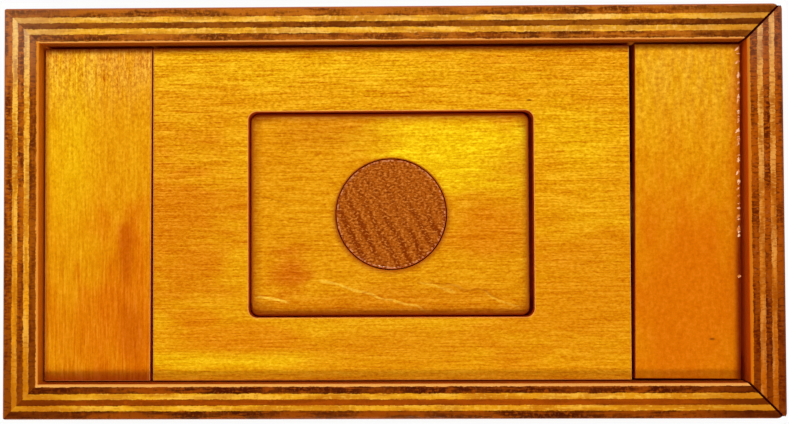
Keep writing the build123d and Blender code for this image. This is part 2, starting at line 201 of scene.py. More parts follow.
def varnish(tree, mm, wood, height, rise_mm, seed, shine=1.0, bare=None):
    """Brushed gloss varnish over the wood, its fibres standing that far up under it.

    bare, on a piece that has such a place, is one where the wood was left without varnish."""
    bump = add(tree, "ShaderNodeBump", {"Height": height, "Strength": 1.0, "Distance": rise_mm * MM})
    rubbed = share(tree, grain(tree, mm, "X", 25, 25, seed + 50, 3), 0.35, 0.7, 0.26, 0.16)
    skin = SKIN * shine
    if bare is not None:
        rubbed = add(tree, "ShaderNodeMix", {0: bare, 2: rubbed, 3: 1.0}).outputs[0]
        skin = add(tree, "ShaderNodeMix", {0: bare, 2: skin, 3: 0.0}).outputs[0]
    surface = {
        "Base Color": wood, "Roughness": rubbed, "IOR": VARNISH_IOR, "Specular IOR Level": 0.1 * shine,
        "Specular Tint": colour(AMBER), "Normal": bump.outputs[0],
        "Coat Weight": skin, "Coat Roughness": 0.08,
    }
    shader = add(tree, "ShaderNodeBsdfPrincipled", surface)
    add(tree, "ShaderNodeOutputMaterial", {"Surface": shader.outputs[0]})


# %% [markdown]
# ## Varnished seven-ply board
#
# The walls are seven-ply board with their edges up. Plies whose grain runs along the wall stay
# pale, and plies that show end grain drink the stain and turn dark red-brown, so the rim reads as
# fine parallel stripes. The thickness of each ply is in millimetres from the outer face, and the
# stripes are a colour ramp over that distance. They waver by a tenth of a millimetre or so,
# because rotary-cut veneer never lies quite flat. A ramp was chosen over separate strips because
# it also comes out right on the mitred ends, where the real plies show too.

# %% Plies across the wall
BOARD = 8.6  # thickness of the seven plies together
PLIES = (
    ("skin", 0.35), ("dark", 1.85), ("pale", 1.30), ("dark", 1.50),
    ("pale", 1.35), ("dark", 1.68), ("face", 0.57),
)
PLY_SOFTNESS = 0.05  # half the width of the change from ply to ply
VENEER_WAVER = 0.14
TORN_WAVER = 0.1


def in_plies(tree, depth, kind):
    """One where the depth into the wall lies in a ply of this kind, nought elsewhere."""
    ends = {"Value": depth, "From Min": 0.0, "From Max": BOARD}
    ramp = add(tree, "ShaderNodeValToRGB", {"Fac": add(tree, "ShaderNodeMapRange", ends).outputs[0]})
    stops = ramp.color_ramp.elements
    marks = []
    edge = 0.0
    for ply, thickness in PLIES:
        value = 1.0 if ply == kind else 0.0
        marks += [(edge + PLY_SOFTNESS, value), (edge + thickness - PLY_SOFTNESS, value)]
        edge += thickness
    while len(stops) < len(marks):
        stops.new(0.5)
    for stop, (place, value) in zip(stops, marks):
        stop.position = place / BOARD
        stop.color = (value, value, value, 1)
    return ramp.outputs["Color"]


def wavering(tree, mm, run, depth, crossing, seed):
    """The depth into the wall with the waver of the veneer and of the saw's torn edges added."""
    sways = (
        (grain(tree, mm, run, 1.6, 2.4, seed, 3, 0.7), VENEER_WAVER),
        (grain(tree, mm, run, 0.9, 0.38, seed + 1, 1), TORN_WAVER * crossing),
    )
    for noise, most in sways:
        ends = {"Value": noise, "From Min": 0.3, "From Max": 0.7, "To Min": -most, "To Max": most}
        sway = add(tree, "ShaderNodeMapRange", ends).outputs[0]
        depth = add(tree, "ShaderNodeMath", {0: depth, 1: sway}, operation="ADD").outputs[0]
    return depth


print("plies add up to", round(sum(thickness for _, thickness in PLIES), 2), "mm")

# %% [markdown]
# ## Stain, darker ends and painted sheen along the rim
#
# No ply is one colour from end to end. The stain drifts from one tone to another along a wall,
# lies in clouds one to three centimetres long, and gathers in the fibres. The plies are darker
# towards the ends of a wall, the end walls towards the front, and towards the front of the end
# walls the cream fibres in the pale plies, which stand in for glints as painted highlights, fade.
# Towards the back and the left a pale painted sheen stands in for the lamps' reflection in the
# varnish. Each of these is a coat of its own. One large noise would leave the plies smooth close
# by, and one fine noise would leave them flat from afar. The real fibres are finer than a tenth of
# a millimetre and are drawn about three times wider, so that they show.

# %% Colours of one rim
# Painted sheen: a pale colour that stands in for the lamps' reflection in the varnish.
SHEEN_COLOUR = "#FAF8D6"
# Raw reddish wood of the open mitres, brightened as painted light against the deep shade of the slit.
MITRE_WOOD_BRIGHTENED = "#B03C14"


def darker_ends_and_sheen(tree, mm, run, shades):
    """Shares of darkening on dark and pale plies, painted glints, and painted sheen on a wall."""
    reach = HIGH.y if run == "Y" else HIGH.x
    place = add(tree, "ShaderNodeSeparateXYZ", {0: mm}).outputs[run]
    if run == "Y":  # an end wall: darker towards the front, painted sheen towards the back
        end_darkening = share(tree, place, 4, 6 - reach, 0.58)
        pale_end_darkening = share(tree, place, 28 - reach, 4 - reach, shades["end_dark"])
        painted_glint = share(tree, place, 28, -18, 0.3, 1.0)
        return end_darkening, pale_end_darkening, painted_glint, share(tree, place, 26, 45, shades["painted_sheen"])
    # A long wall: darker at both ends, painted sheen at the left one.
    left_end = share(tree, place, 28 - reach, 8 - reach, shades["end_dark"])
    right_end = share(tree, place, reach - 28, reach - 8, 0.65)
    end_darkening = add(tree, "ShaderNodeMath", {0: right_end, 1: left_end}, operation="ADD").outputs[0]
    return end_darkening, end_darkening, 1.0, share(tree, place, 22 - reach, 2 - reach, shades["painted_sheen"])


def end_to_end(tree, mm, run, seed):
    """From nought at one end of a wall to one at the other, drifting on its way."""
    reach = HIGH.y if run == "Y" else HIGH.x
    place = add(tree, "ShaderNodeSeparateXYZ", {0: mm}).outputs[run]
    drift = share(tree, grain(tree, mm, run, 30, 30, seed + 2, 1), 0.3, 0.7, 0.2, -0.2)
    whole = share(tree, place, -reach, reach)
    return add(tree, "ShaderNodeMath", {0: whole, 1: drift}, operation="ADD").outputs[0]


def stained_plies(tree, mm, run, depth, along, shades, crossing, tick, seed):
    """The colours of the dark and the pale plies, and the height of the fibres in them."""
    saw = grain(tree, mm, run, 1.4, tick, seed + 5, 1)
    fibre = grain(tree, mm, run, 0.34, 2.4, seed + 7, 2)
    fine = add(tree, "ShaderNodeMix", {0: crossing, 2: fibre, 3: saw}).outputs[0]
    mottle = grain(tree, mm, run, 0.6, 0.55, seed + 8, 2, 0.6)
    blotch = grain(tree, mm, run, 1.7, 9, seed + 3, 2, 0.5)
    cloud = grain(tree, mm, run, 2.2, 12, seed + 10, 1)
    slow = grain(tree, mm, run, 3.0, 26, seed + 14, 1)
    end_darkening, pale_end_darkening, painted_glint, painted_sheen = darker_ends_and_sheen(tree, mm, run, shades)
    middle, most, other = shades["other"]

    dark = coats(tree, shades["dark"][0], [
        (along, shades["dark"][1]),
        (share(tree, cloud, 0.49, 0.64, 0.85), shades["deep"]),
        (share(tree, cloud, 0.50, 0.36, 0.9), shades["warm"]),
        (share(tree, slow, 0.52, 0.66, 0.7), shades["deep"]),
        (share(tree, slow, 0.48, 0.34, 0.7), shades["warm"]),
        (share(tree, blotch, 0.47, 0.68, 0.65), shades["deep"]),
        (share(tree, blotch, 0.47, 0.33, 0.9), shades["warm"]),
        (share(tree, mottle, 0.54, 0.70, 0.9 * crossing), shades["mote"]),
        (share(tree, fine, 0.48, 0.32, 0.65), shades["deep"]),
        (share(tree, fine, 0.50, 0.66, 0.85), shades["warm"]),
        (share(tree, beside(tree, depth, middle), 1.1, 0.6, most), other),
        (end_darkening, shades["deep"]),
        # Painted sheen, a little of it over the dark plies too.
        (both(tree, painted_sheen, 0.25), SHEEN_COLOUR),
    ])
    pale = coats(tree, shades["pale"][0], [
        (along, shades["pale"][1]),
        (share(tree, cloud, 0.5, 0.34, 0.6), shades["tan"]),
        (share(tree, cloud, 0.5, 0.66, 0.4), shades["cream"]),
        (share(tree, blotch, 0.47, 0.60, 0.5), shades["tan"]),
        # Cream fibres: painted glints, fading towards the front of an end wall.
        (both(tree, share(tree, fine, 0.47, 0.36, 0.5), painted_glint), shades["cream"]),
        (share(tree, fine, 0.53, 0.64, 0.55), shades["tan"]),
        (pale_end_darkening, shades["tan"]),
        # Painted sheen over the pale plies.
        (painted_sheen, SHEEN_COLOUR),
    ])
    height = add(tree, "ShaderNodeMath", {0: mottle, 1: fine}, operation="ADD").outputs[0]
    return dark, pale, height


# %% [markdown]
# ## Rim, faces and mitres in one material
#
# The stripes belong on the rim alone. The outer face of a wall is its outermost ply, one broad
# veneer with the grain along the wall. The inner face is painted bright orange low down, painted
# light that stands in for the light in the shaded gap below the lid, and darker near the rim. The
# faces of the open mitres were never varnished and are raw and reddish, a colour brightened as
# painted light against the deep shade of the slit. One material per wall holds all four, chosen by
# the way the surface faces and by its depth into the board, so that the pieces stay whole.

# %% Plywood


def outer_veneer(tree, mm, run, seed):
    """The outermost ply: broad darker bands, brown lines and pale streaks along the wall."""
    return coats(tree, "#C4660E", [
        (share(tree, grain(tree, mm, run, 7, 34, seed + 11, 3, 0.6), 0.38, 0.68, 0.8), "#A24806"),
        (share(tree, grain(tree, mm, run, 0.9, 30, seed + 12, 3, 0.6), 0.50, 0.66, 0.55), "#8A3A06"),
        (share(tree, grain(tree, mm, run, 0.6, 12, seed + 13, 2), 0.50, 0.34, 0.5), "#E2922A"),
    ])


def open_mitre(tree, depth):
    """One on a mitre's slanting face, which looks halfway between X and Y, short of its tip."""
    way = facing(tree)
    slant = add(tree, "ShaderNodeMath", {0: way["X"], 1: way["Y"]}, operation="MULTIPLY").outputs[0]
    slant = add(tree, "ShaderNodeMath", {0: slant}, operation="ABSOLUTE").outputs[0]
    return both(tree, share(tree, slant, 0.47, 0.49), share(tree, depth, 0.66, 0.72))


def varnished_plywood(name, axis, outer, inward, shades, crossing, tick, seed):
    """Seven-ply board whose outer face lies at that coordinate on the axis, X or Y.

    inward is 1 or -1, the way along the axis into the board. crossing is how much of the fine
    figure is saw marks across the edge, tick apart, the rest being fibres along it."""
    tree, mm = new_material(name)
    run = "Y" if axis == "X" else "X"
    split = add(tree, "ShaderNodeSeparateXYZ", {0: mm}).outputs
    depth = add(tree, "ShaderNodeMath", {0: split[axis], 1: outer}, operation="SUBTRACT").outputs[0]
    depth = add(tree, "ShaderNodeMath", {0: depth, 1: inward}, operation="MULTIPLY").outputs[0]
    along = end_to_end(tree, mm, run, seed)
    dark, pale, height = stained_plies(tree, mm, run, depth, along, shades, crossing, tick, seed)
    waved = wavering(tree, mm, run, depth, crossing, seed)
    # Low down the inner face is painted bright: painted light for the shaded gap below the lid.
    painted_light_low, high_shade, low_z, high_z = shades["inner"]
    inner_face = coats(tree, painted_light_low, [(share(tree, split["Z"], low_z, high_z), high_shade)])
    upright = share(tree, facing(tree)["Z"], 0.62, 0.4)
    mitre = open_mitre(tree, depth)
    wood = coats(tree, dark, [
        (in_plies(tree, waved, "pale"), pale),
        # The face ply: its pale colour also holds the painted highlight along the inner arris.
        (in_plies(tree, waved, "face"), coats(tree, shades["face"][0], [(along, shades["face"][1])])),
        (in_plies(tree, waved, "skin"), shades["skin"]),
        (both(tree, upright, share(tree, depth, 1.6, 1.5)), outer_veneer(tree, mm, run, seed)),
        (both(tree, upright, share(tree, depth, BOARD / 2, BOARD / 2 + 0.1)), inner_face),
        (mitre, MITRE_WOOD_BRIGHTENED),
    ])
    varnish(tree, mm, wood, height, 0.07, seed, 1.0, mitre)


# %% [markdown]
# ## The four walls
#
# Light, hands and years have aged the four walls differently, and the lamps fall on each its own
# way, so each has its own set of stains and one function takes them all, instead of four that
# differ only in their colours. In a set, pale, dark and face hold a ply's colour at the start and at
# the end of the wall, and skin that of the thin outermost ply. The pale face ply also holds the
# painted highlight along the inner arris. Deep, warm and mote are the dark plies' figure, tan and
# cream the pale plies' figure, the cream fibres also standing in for glints. Other is one ply of
# another tone: its depth in millimetres, the most of it that shows, and its colour. Painted_sheen and
# end_dark are the most painted sheen and the most darkening at the ends. Inner is the inner face's
# colour low down, painted bright as painted light in the shaded gap, and near the rim, and the two
# heights between which it turns.

# %% Materials of the four walls
RIM_BACK = {
    "pale": ("#F6B42C", "#F6B02A"), "tan": "#C4781A", "cream": "#FFD070",
    "dark": ("#A04E10", "#944206"), "deep": "#5E2606", "warm": "#BE6814", "mote": "#C47638",
    "face": ("#F0A64C", "#F0A248"), "skin": "#B8602A", "other": (4.35, 0.5, "#5A2402"),
    "painted_sheen": 0.10, "end_dark": 0.3, "inner": ("#FF8A1E", "#B8580C", 35.5, 38.5),
}
RIM_FRONT = {
    "pale": ("#F0AC1C", "#E49614"), "tan": "#C4700E", "cream": "#FFC648",
    "dark": ("#743606", "#7A3202"), "deep": "#4A1402", "warm": "#9E4604", "mote": "#9A4E20",
    "face": ("#F4AC50", "#F0A450"), "skin": "#A8581C", "other": (4.35, 0.5, "#B44E04"),
    "painted_sheen": 0.0, "end_dark": 0.55, "inner": ("#F07A10", "#AE4206", 35.5, 40.5),
}
RIM_LEFT = {
    "pale": ("#F0980C", "#F4AE2C"), "tan": "#BC680A", "cream": "#FFC856",
    "dark": ("#9C4202", "#A24C0C"), "deep": "#642204", "warm": "#BE6208", "mote": "#BE6E30",
    "face": ("#EE9A3A", "#E68C22"), "skin": "#B05C24", "other": (7.2, 0.35, "#642804"),
    "painted_sheen": 0.19, "end_dark": 0.65, "inner": ("#FF8C10", "#D4720C", 35.5, 38.5),
}
RIM_RIGHT = {
    "pale": ("#CC680A", "#E2942E"), "tan": "#A24A04", "cream": "#F0AC54",
    "dark": ("#963600", "#98460C"), "deep": "#5C1A02", "warm": "#B05004", "mote": "#B4602A",
    "face": ("#D8740C", "#D27C20"), "skin": "#8A3C10", "other": (0.0, 0.4, "#6E2E08"),
    "painted_sheen": 0.10, "end_dark": 0.25, "inner": ("#FF601C", "#DC5C0C", 34.5, 39.0),
}
# Each wall: its axis, the face where its plies start (sanding left them a little off the real
# face), the way inward, its stains, the share of saw marks, their spacing, and the seed.
WALLS = {
    "front_wall": ("Y", LOW.y - 0.15, 1.0, RIM_FRONT, 0.45, 0.8, 1.0),
    "back_wall": ("Y", HIGH.y - 0.15, -1.0, RIM_BACK, 0.55, 0.8, 2.0),
    "left_wall": ("X", LOW.x, 1.0, RIM_LEFT, 0.85, 0.45, 3.0),
    "end_wall": ("X", HIGH.x + 0.12, -1.0, RIM_RIGHT, 0.9, 0.45, 4.0),
}
for node, facts in WALLS.items():
    varnished_plywood("varnished_seven_ply_" + node, *facts)
    cover([node], "varnished_seven_ply_" + node)
print("walls dressed:", ", ".join(WALLS))

# %% [markdown]
# ## Varnished lid boards
#
# The lid boards and the window plate are thin birch, wiped with a yellow-orange stain and
# varnished. Birch takes stain unevenly, so each board goes from gold to orange in clouds, with a
# few spots where it pooled. Over that lie short darker and lighter dashes, the cut ends of the
# fibres, and longer lines: on the centre board they run along the box and on the two slats across
# it. Real birch fibres are finer than a tenth of a millimetre, so they are drawn as bundles four
# times wider or more. The light strikes the back of the lid at a flatter angle to the eye, so the
# bundles are painted stronger there, a painted sheen. A bundle is a gain on the colour under it and
# not a coat, so that it stays in tone over gold and orange alike.

# %% Birch board
FIBRE_GAIN = (0.7, 1.45, 1.6)  # red, green and blue: a paler bundle is a less orange one
FIBRE_BARE = 0.04  # blue added where a bundle has hardly taken the stain


def oval(tree, mm, centre, reach):
    """How far a place is from the centre, where one is the edge of an oval of that reach."""
    gap = add(tree, "ShaderNodeVectorMath", {0: mm, 1: (*centre, 0)}, operation="SUBTRACT")
    fit = (1 / reach[0], 1 / reach[1], 0)
    gap = add(tree, "ShaderNodeVectorMath", {0: gap.outputs[0], 1: fit}, operation="MULTIPLY")
    return add(tree, "ShaderNodeVectorMath", {0: gap.outputs[0]}, operation="LENGTH").outputs["Value"]


def spot(tree, mm, drift, centre, reach):
    """One inside a loose-edged oval about the centre, fading to nought outside it."""
    away = oval(tree, mm, centre, reach)
    away = add(tree, "ShaderNodeMath", {0: away, 1: drift}, operation="ADD").outputs[0]
    return share(tree, away, 1.25, 0.25)


def fibre_bundles(tree, mm, axis, fibres, seed):
    """The fibres as noise, part dashes and part lines, and how much paler than the board they are.

    fibres holds the length of a dash and of a line, the share of lines at the front and at the
    back, the spacing across them, their strength at the front and at the back, higher at the back
    as a painted sheen, and the place along Y where it starts to rise."""
    dashes = grain(tree, mm, axis, fibres["spacing"], fibres["dash"], seed + 4, 3, 0.7)
    lines = grain(tree, mm, axis, fibres["spacing"], fibres["line"], seed + 6, 2, 0.6)
    depth = add(tree, "ShaderNodeSeparateXYZ", {0: mm}).outputs["Y"]
    lines_front, lines_back = fibres["lines"]
    lines_part = share(tree, depth, -25, 20, lines_back, lines_front)
    bundles = add(tree, "ShaderNodeMix", {0: lines_part, 2: dashes, 3: lines}).outputs[0]
    front, back = fibres["strength"]
    strength = share(tree, depth, fibres["rise"], 38, back, front)
    paler = add(tree, "ShaderNodeMath", {0: 0.5, 1: bundles}, operation="SUBTRACT").outputs[0]
    return bundles, add(tree, "ShaderNodeMath", {0: paler, 1: strength}, operation="MULTIPLY").outputs[0]


def varnished_birch(name, axis, seed, tones, fibres, spots, layers):
    """Stained birch with its grain along X or Y.

    tones are the board's ground, cloud, sides and arrises. The sides are stain pooled in the joints,
    brightened as painted light for the red light that bounces there. The arris coat is worn wood and
    painted light: a pale highlight on the left slat and the centre board, darker painted shade on the
    loose slat and the plate, and left off the back edge, which lies in shade. Each spot is a colour, a
    share, a centre and a reach, its edge as ragged as fibres says. layers are further coats, each a
    function of the tree and mm with its colour."""
    tree, mm = new_material(name)
    ragged = fibres["ragged"]
    drift = share(tree, grain(tree, mm, axis, 5, 12, seed + 9), 0.3, 0.7, ragged, -ragged)
    cloud = share(tree, grain(tree, mm, axis, 6, 18, seed, 3, 0.6), 0.36, 0.7, 1.5 * ragged)
    stain = [(cloud, tones["cloud"])]
    for shade, most, centre, reach in spots:
        stain.append((both(tree, spot(tree, mm, drift, centre, reach), most), shade))
    stain += [(make(tree, mm), shade) for make, shade in layers]

    bundles, paler = fibre_bundles(tree, mm, axis, fibres, seed)
    gain = add(tree, "ShaderNodeVectorMath", {0: FIBRE_GAIN, "Scale": paler}, operation="SCALE").outputs[0]
    gain = add(tree, "ShaderNodeVectorMath", {0: gain, 1: (1, 1, 1)}).outputs[0]
    bare = add(tree, "ShaderNodeMath", {0: paler, 1: 0.0}, operation="MAXIMUM").outputs[0]
    bare = add(tree, "ShaderNodeCombineXYZ", {"Z": both(tree, bare, FIBRE_BARE)}).outputs[0]
    parts = {0: coats(tree, tones["ground"], stain), 1: gain, 2: bare}
    stained = add(tree, "ShaderNodeVectorMath", parts, operation="MULTIPLY_ADD").outputs[0]

    level = facing(tree)["Z"]
    depth = add(tree, "ShaderNodeSeparateXYZ", {0: mm}).outputs["Y"]
    # The arris coat: worn wood with painted highlight or painted shade, left off the back edge in shade.
    # The sides: pooled stain brightened as painted light.
    arris_wear_and_painted_light = both(tree, share(tree, level, 0.97, 0.8, 0.75), share(tree, depth, 40.4, 39.9))
    wood = coats(tree, stained, [(arris_wear_and_painted_light, tones["arris_wear_and_painted_light"]), (share(tree, level, 0.55, 0.3), tones["side"])])
    varnish(tree, mm, wood, bundles, 0.13, seed)


# %% [markdown]
# ## Stain and painted shade along the joints
#
# Wiped stain runs into a joint and stays there, so a board is darkest along its edges. Along the
# front and back ends of the boards, where the walls cast their shadows, and round the plate in its
# window, the darker bands are painted shade as well as stain. It could be painted by eye, but a
# pool that is measured in millimetres from the piece's own side, read from the frame, follows the
# piece if its size is changed. The far ends of the slats have a trace of the same pale painted
# sheen as the rim.

# %% Pools and haze along a side
SLAT_SKEW = 0.45  # degrees
SLAT_LEAN = math.tan(math.radians(SLAT_SKEW))
# The colour of the painted sheen over gold birch, standing in for the lamps' reflection.
SHEEN_ON_GOLD = "#F6CC7C"


def near_side(tree, mm, node, axis, end, width, most, lean=0.0):
    """Rises from nought, that many millimetres inside one side of the piece, to most at it.

    end is 0 for the low side along the axis and 1 for the high one. lean is how far that side runs
    towards +X for each millimetre towards the back."""
    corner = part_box(node)[end] / MM
    edge = corner["XYZ".index(axis)] - lean * corner.y
    inner = edge - width if end else edge + width
    split = add(tree, "ShaderNodeSeparateXYZ", {0: mm}).outputs
    place = split[axis]
    if lean:
        shift = add(tree, "ShaderNodeMath", {0: split["Y"], 1: lean}, operation="MULTIPLY").outputs[0]
        place = add(tree, "ShaderNodeMath", {0: place, 1: shift}, operation="SUBTRACT").outputs[0]
    return share(tree, place, inner, edge, most)


def pooled_stain_and_shade(node, axis, end, width, most, shade, lean=0.0, back=1.0):
    """A layer along one side of the board: pooled stain, and painted shade where a shadow lies there.

    back is how much of it lies along the back half, the front half having all of it."""

    def layer(tree, mm):
        pool = near_side(tree, mm, node, axis, end, width, most, lean)
        if back == 1.0:
            return pool
        depth = add(tree, "ShaderNodeSeparateXYZ", {0: mm}).outputs["Y"]
        return both(tree, pool, share(tree, depth, 14, -14, 1.0, back))

    return (layer, shade)


def painted_sheen_streaks(node, width, most, seed):
    """A layer of pale painted sheen at the back end of a slat, in streaks along its grain."""

    def layer(tree, mm):
        streak = share(tree, grain(tree, mm, "Y", 1.5, 9, seed, 2), 0.40, 0.62, 1.0, 0.25)
        return both(tree, near_side(tree, mm, node, "Y", 1, width, most), streak)

    return (layer, SHEEN_ON_GOLD)


# %% [markdown]
# ## The two slats and the centre board
#
# The spots are given in millimetres from the middle of the box, because a real stain
# stands where it stands: noise alone would give a fair likeness of birch but of another board.
# The left slat goes to burnt orange along its inner side, the loose slat down its front half, and
# the centre board along its front and to the left of its window. The loose slat is darkest along
# its right side.

# %% Left slat
GOLD, YELLOW, ORANGE, BURNT, SPECK = "#EBA506", "#F8C806", "#DE7202", "#C45600", "#7A3004"
varnished_birch(
    "varnished_birch_left_slat", "Y", 11.0,
    {"ground": "#EA9E06", "cloud": "#E28C04", "side": "#DC5C14", "arris_wear_and_painted_light": "#F4A850"},
    {
        "dash": 0.9, "line": 9.0, "lines": (0.6, 0.35), "spacing": 0.56,
        "strength": (1.5, 3.2), "rise": 20, "ragged": 0.2,
    },
    [
        (ORANGE, 0.95, (-64.5, -24), (13, 36)), (ORANGE, 0.6, (-76, -30), (16, 22)),
        (BURNT, 0.75, (-65.5, -11), (2.6, 11)), (BURNT, 0.5, (-64, -29), (3.4, 9)),
        (YELLOW, 0.4, (-80, 22), (9, 24)),
    ],
    [
        # Painted sheen at the back end, then pooled stain and painted shade along the ends and sides.
        painted_sheen_streaks("left_slat", 20, 0.12, 41.0),
        pooled_stain_and_shade("left_slat", "Y", 0, 4.4, 0.95, "#AC4204"),
        pooled_stain_and_shade("left_slat", "Y", 1, 2.2, 0.9, "#7A2204"),
        pooled_stain_and_shade("left_slat", "X", 0, 1.6, 0.6, "#A03C08"),
        pooled_stain_and_shade("left_slat", "X", 1, 0.8, 0.4, "#A84C08"),
    ],
)
cover(["left_slat"], "varnished_birch_left_slat")
print("left slat dressed")

# %% Loose slat
varnished_birch(
    "varnished_birch_loose_slat", "Y", 13.0,
    {"ground": GOLD, "cloud": "#E29006", "side": "#C4441A", "arris_wear_and_painted_light": "#B0520E"},
    {
        "dash": 0.8, "line": 2.6, "lines": (0.4, 0.4), "spacing": 0.95,
        "strength": (1.0, 2.0), "rise": -10, "ragged": 0.1,
    },
    [
        (ORANGE, 1.0, (72, -23), (27, 46)), ("#D86E02", 0.8, (85.5, 0), (4.5, 60)),
        (SPECK, 0.8, (77.6, -31.2), (0.9, 0.4)),
    ],
    [
        # Painted sheen at the back end, then pooled stain and painted shade along the ends and sides.
        painted_sheen_streaks("right_slat", 30, 0.06, 43.0),
        pooled_stain_and_shade("right_slat", "X", 1, 2.2, 1.0, "#6C0E02", SLAT_LEAN, 0.4),
        pooled_stain_and_shade("right_slat", "Y", 0, 3.2, 0.2, "#A84804"),
        pooled_stain_and_shade("right_slat", "Y", 1, 2.2, 0.8, "#8A2E04"),
    ],
)
cover(["right_slat"], "varnished_birch_loose_slat")
print("the loose slat lies", SLAT_SKEW, "degrees askew")

# %% Centre board
varnished_birch(
    "varnished_birch_centre_board", "X", 17.0,
    {"ground": "#EAA206", "cloud": "#E28A04", "side": "#D04A0C", "arris_wear_and_painted_light": "#F4A850"},
    {
        "dash": 0.9, "line": 9.0, "lines": (0.4, 0.42), "spacing": 0.42,
        "strength": (2.1, 3.0), "rise": -30, "ragged": 0.3,
    },
    [
        ("#DE8004", 0.95, (-58, -2), (26, 24)), (ORANGE, 0.55, (-38, -30), (22, 6)),
        ("#E08504", 0.8, (46, -20), (30, 22)), ("#DE8204", 0.6, (0, -33), (40, 5)),
        (YELLOW, 0.5, (-40, -37), (28, 3.2)), (YELLOW, 0.35, (42, 20), (14, 10)),
        (YELLOW, 0.3, (-20, 36), (50, 7)), (SPECK, 0.8, (33.6, 27.3), (0.7, 0.25)),
    ],
    [
        # Pooled stain and painted shade along the front, the back and the left side.
        pooled_stain_and_shade("centre_board", "Y", 0, 4.6, 0.9, "#E48C08"),
        pooled_stain_and_shade("centre_board", "Y", 1, 2.2, 0.95, "#8A2C04"),
        pooled_stain_and_shade("centre_board", "X", 0, 0.7, 0.4, "#B05408"),
    ],
)
cover(["centre_board"], "varnished_birch_centre_board")
print("centre board dressed")

# %% [markdown]
# ## The plate in the window
#
# The plate is the palest piece of the lid. A few pale lines of figure cross it on the front side,
# where the grain curls. Each is drawn by its two ends and its width and then wobbled, as noise
# can't put a single line where it is wanted. It darkens along all four sides, pooled stain and the
# painted shade of the window's walls, its corners are painted shade, and a ring of painted shade
# lies round the hole for the disc, most of it on the front side.

# %% Window plate
FIGURE_LINES = (
    ((-33.5, -21.0), (-26.0, -22.4), 0.5, 0.8), ((-17.7, -16.8), (-8.8, -19.6), 0.5, 0.55),
    ((-8.8, -19.6), (1.0, -22.1), 0.45, 0.5), ((1.0, -22.1), (9.4, -24.8), 0.4, 0.4),
    ((6.5, -17.4), (15.3, -19.2), 0.4, 0.35), ((22.7, -19.9), (31.0, -22.9), 0.4, 0.35),
    ((9.0, -17.2), (26.5, -20.6), 0.3, 0.45, "#B86404"),
    ((-34.0, 3.6), (-25.0, 2.0), 0.25, 0.3, "#B86404"),
)


def thin_line(tree, mm, wobble, start, end, width):
    """One on a thin wavering line from start to end, nought beside it."""
    along = (Vector(end) - Vector(start)).to_3d()
    length = along.length
    along.normalize()
    gap = add(tree, "ShaderNodeVectorMath", {0: mm, 1: (*start, 0)}, operation="SUBTRACT").outputs[0]
    run = add(tree, "ShaderNodeVectorMath", {0: gap, 1: along}, operation="DOT_PRODUCT").outputs["Value"]
    side = add(tree, "ShaderNodeVectorMath", {0: gap, 1: (-along.y, along.x, 0)}, operation="DOT_PRODUCT")
    side = add(tree, "ShaderNodeMath", {0: side.outputs["Value"], 1: wobble}, operation="ADD").outputs[0]
    side = add(tree, "ShaderNodeMath", {0: side}, operation="ABSOLUTE").outputs[0]
    inside = both(tree, share(tree, run, -1, 1), share(tree, run, length + 1, length - 1))
    return both(tree, share(tree, side, width, width * 0.3), inside)


def figure_line(start, end, width, most, shade="#FFC83C"):
    """A layer for one line of figure, mostly pale, that wanders across the plate."""

    def line(tree, mm):
        wobble = share(tree, grain(tree, mm, "X", 6, 9, 3.3, 1), 0.3, 0.7, 0.6, -0.6)
        return both(tree, thin_line(tree, mm, wobble, start, end, width), most)

    return (line, shade)


def disc_ring_shade(tree, mm):
    """Painted shade on the plate round the disc's hole, most of it on the front side."""
    low, high = (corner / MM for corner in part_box("disc"))
    radius = (high.x - low.x) / 2
    away = oval(tree, mm, ((low.x + high.x) / 2, (low.y + high.y) / 2), (1, 1))
    front = add(tree, "ShaderNodeSeparateXYZ", {0: mm}).outputs["Y"]
    ring = share(tree, away, radius + 1.9, radius + 0.2, 0.8)
    return both(tree, ring, share(tree, front, 9, -4, 1.0, 0.25))


varnished_birch(
    "varnished_birch_plate", "X", 19.0,
    {"ground": "#E69805", "cloud": "#DC8604", "side": "#F0862C", "arris_wear_and_painted_light": "#C87414"},
    {
        "dash": 0.9, "line": 7.0, "lines": (0.4, 0.4), "spacing": 0.42,
        "strength": (2.4, 2.4), "rise": -20, "ragged": 0.25,
    },
    [
        (YELLOW, 1.0, (14.5, 16), (25.5, 12.5)), ("#DE7E03", 0.8, (22, -4), (11, 8)),
        ("#D06202", 0.8, (-25, -14.6), (7, 7)), ("#D67E06", 0.5, (-14, 20), (14, 5)),
        ("#D87C04", 0.6, (4, -22), (40, 5)),
        # Darker ovals in the four corners of the window: painted shade.
        ("#A45E06", 0.55, (-35, 25.5), (6, 5)), ("#9A5606", 0.6, (34.5, 25), (5, 5)),
        ("#A45806", 0.5, (-35, -25.5), (6, 5)), ("#A45E06", 0.5, (34.5, -25.5), (5, 5)),
    ],
    [
        *(figure_line(*drawn) for drawn in FIGURE_LINES),
        (disc_ring_shade, "#A8520A"),
        # Along the four sides: pooled stain and painted shade from the window's walls.
        pooled_stain_and_shade("window_plate", "X", 0, 3.5, 0.62, "#A05004"),
        pooled_stain_and_shade("window_plate", "X", 1, 2.4, 0.6, "#965006"),
        pooled_stain_and_shade("window_plate", "Y", 0, 3.4, 0.88, "#AE5602"),
        pooled_stain_and_shade("window_plate", "Y", 1, 2.9, 0.85, "#9A4C04"),
    ],
)
cover(["window_plate"], "varnished_birch_plate")
print("lines of figure on the plate:", len(FIGURE_LINES))

